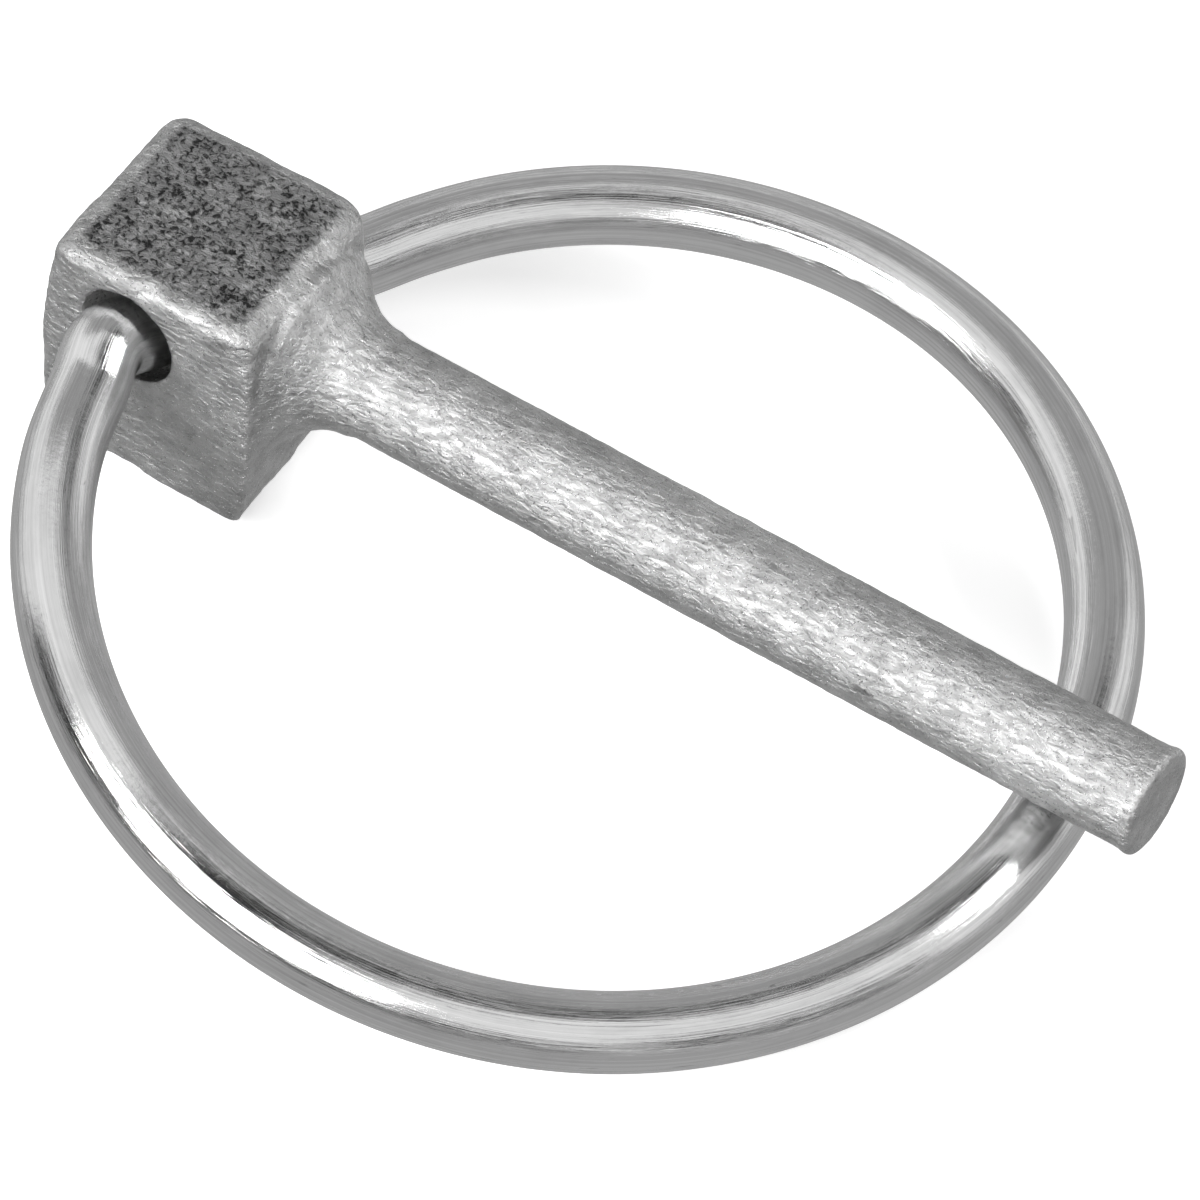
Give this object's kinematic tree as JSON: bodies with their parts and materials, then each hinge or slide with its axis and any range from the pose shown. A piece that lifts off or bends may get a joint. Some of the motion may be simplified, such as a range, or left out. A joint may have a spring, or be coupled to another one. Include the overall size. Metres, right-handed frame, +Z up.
{
  "type": "lynch pin",
  "caption": "Forged lynch pin: a round shank with a block head and a sprung wire ring that swings shut over the shank's tip.",
  "frame": {"origin": "on the shank's axis where its plain round length starts, just in front of the head's neck", "axes": "+X along the shank to its tip, +Y across the head, +Z up, away from the side that the closed ring rests on"},
  "size_m": [0.0497, 0.0454, 0.0114],
  "materials": {
    "forged_steel": "zinc plated over a rough forged skin",
    "plated_wire": "bright plated drawn spring wire"
  },
  "bodies": {
    "pin": {"pin": "forged_steel"},
    "ring": {"ring": "plated_wire"}
  },
  "joints": [
    {"name": "ring_swing", "type": "hinge", "parent": "pin", "child": "ring", "pos_m": [-0.00805, -0.0046, 0.00115], "axis": [0.1563, 0.8985, -0.4102], "range_deg": [0, 180]}
  ]
}
